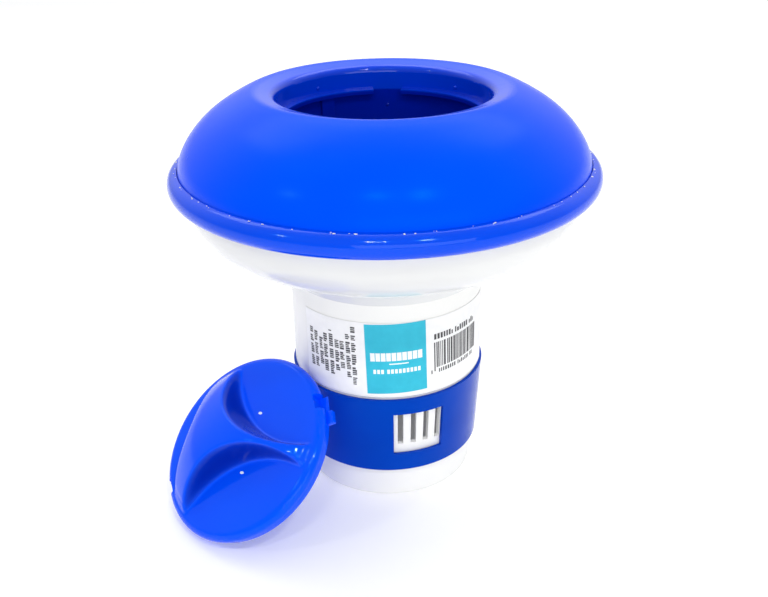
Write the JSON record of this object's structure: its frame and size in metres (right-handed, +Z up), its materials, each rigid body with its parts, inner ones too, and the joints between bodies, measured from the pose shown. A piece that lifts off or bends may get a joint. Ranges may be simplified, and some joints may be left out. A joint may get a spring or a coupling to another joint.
{
  "type": "floating chlorine dispenser",
  "caption": "Floating chlorine dispenser: ring float with a central well, slotted tablet canister with a turning flow ring, and a bayonet cap lying beside it.",
  "frame": {"origin": "centre of the canister's flat base, on the surface it stands on", "axes": "+Z up along the canister's axis, out of the well; -Y is the labelled front"},
  "size_m": [0.1331, 0.127, 0.1236],
  "materials": {
    "float_blue": "glossy moulded royal blue",
    "rim_blue": "glossy moulded royal blue",
    "cap_blue": "glossy moulded royal blue",
    "ring_blue": "satin moulded darker blue",
    "float_white": "glossy moulded white",
    "canister_white": "glossy moulded white",
    "seal_rubber": "matt black",
    "label_paper": "coated label with a cyan panel"
  },
  "bodies": {
    "float": {"float_top_shell": "float_blue", "float_bottom_shell": "float_white", "rim_ring": "rim_blue", "rim_seal": "seal_rubber", "neck_seal": "seal_rubber", "tablet_canister": "canister_white", "product_label": "label_paper"},
    "ring": {"flow_ring": "ring_blue"},
    "loose_cap": {"cap": "cap_blue"}
  },
  "joints": [
    {"name": "flow_ring_turn", "type": "hinge", "parent": "float", "child": "ring", "pos_m": [0, 0, 0.02375], "axis": [0, 0, 1], "range_deg": [-40, 40]},
    {"name": "cap_lift", "type": "slide", "parent": "float", "child": "loose_cap", "axis": [-0.5031, -0.4451, 0.7408], "range_m": [0, 0.1]}
  ]
}
